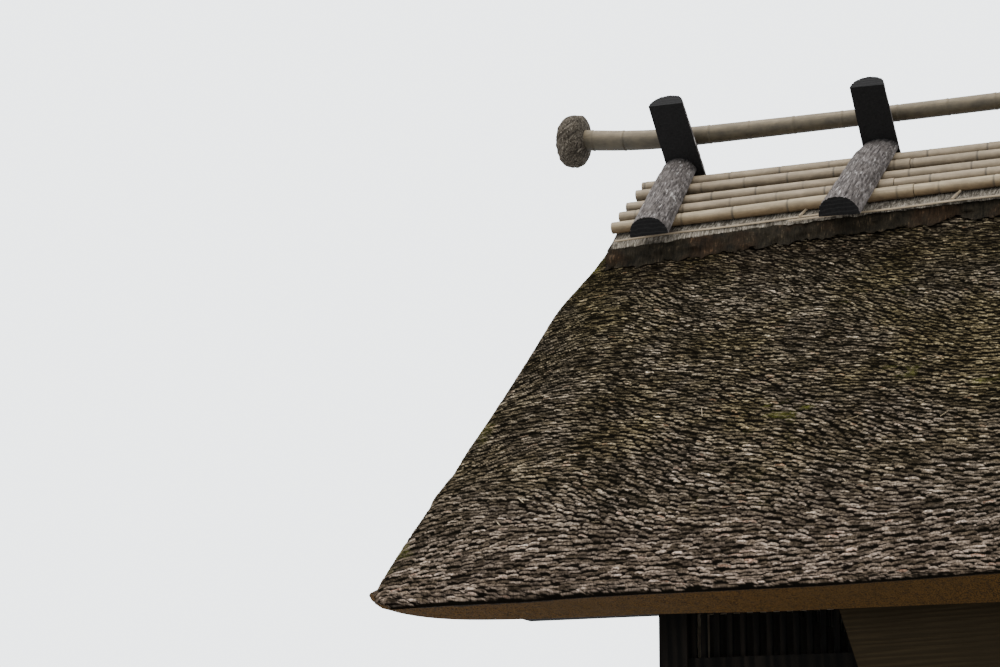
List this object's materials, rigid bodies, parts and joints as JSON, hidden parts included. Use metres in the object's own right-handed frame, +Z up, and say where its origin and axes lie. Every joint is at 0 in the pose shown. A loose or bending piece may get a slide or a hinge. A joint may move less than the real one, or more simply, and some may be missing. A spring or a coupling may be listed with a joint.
{
  "type": "thatched gabled farmhouse",
  "caption": "Timber farmhouse with a steep thatched gable roof, a ridge of bamboo held by crossed half logs, lattice windows and a sliding door.",
  "frame": {"origin": "on the ground, under the middle of the house", "axes": "+X along the ridge, +Y from the entrance side to the back, +Z up"},
  "size_m": [9.6916, 6.2448, 6.8142],
  "materials": {
    "thatch": "weathered reed thatch, overlapping dark tufts with moss",
    "packed_straw": "dark packed straw and bark",
    "cedar_bark": "weathered grey cedar bark, ragged edge",
    "bamboo": "dry weathered bamboo with node rings",
    "half_log": "grey split bark above, charred black flat side and ends",
    "old_timber": "smoke-darkened timber",
    "earth_plaster": "earth plaster with straw",
    "gable_boards": "weathered boards",
    "floor_boards": "worn floor boards",
    "footing_stone": "rough cut stone",
    "sign_wood": "bare weathered plank"
  },
  "bodies": {
    "root": {"stone_footing": "footing_stone", "floor": "floor_boards", "post_frame_front": "old_timber", "post_frame_back": "old_timber", "post_frame_west": "old_timber", "post_frame_east": "old_timber", "wall_front_left": "earth_plaster", "wall_over_doorway": "earth_plaster", "wall_front_right": "earth_plaster", "wall_back": "earth_plaster", "wall_west": "earth_plaster", "wall_east": "earth_plaster", "gable_west": "gable_boards", "gable_east": "gable_boards", "door_leaf_outer": "old_timber", "door_leaf_inner": "old_timber", "ridge_beam": "old_timber", "wall_plate_front": "old_timber", "wall_plate_back": "old_timber", "tie_beam_west": "old_timber", "tie_beam_east": "old_timber", "rafters_front": "old_timber", "rafters_back": "old_timber", "thatch_front": "thatch", "thatch_back": "thatch", "ridge_packing": "packed_straw", "bark_cover_front": "cedar_bark", "bark_cover_back": "cedar_bark", "cap_bamboo_front_1": "bamboo", "cap_bamboo_front_2": "bamboo", "cap_bamboo_front_3": "bamboo", "cap_bamboo_front_4": "bamboo", "cap_bamboo_front_5": "bamboo", "cap_bamboo_back_1": "bamboo", "cap_bamboo_back_2": "bamboo", "cap_bamboo_back_3": "bamboo", "cap_bamboo_back_4": "bamboo", "cap_bamboo_back_5": "bamboo", "saddle_log_front_1": "half_log", "saddle_log_front_2": "half_log", "saddle_log_front_3": "half_log", "saddle_log_front_4": "half_log", "saddle_log_front_5": "half_log", "saddle_log_front_6": "half_log", "saddle_log_front_7": "half_log", "saddle_log_back_1": "half_log", "saddle_log_back_2": "half_log", "saddle_log_back_3": "half_log", "saddle_log_back_4": "half_log", "saddle_log_back_5": "half_log", "saddle_log_back_6": "half_log", "saddle_log_back_7": "half_log", "ridge_pole_west": "bamboo", "ridge_pole_east": "bamboo", "sign_board": "sign_wood"}
  },
  "joints": []
}
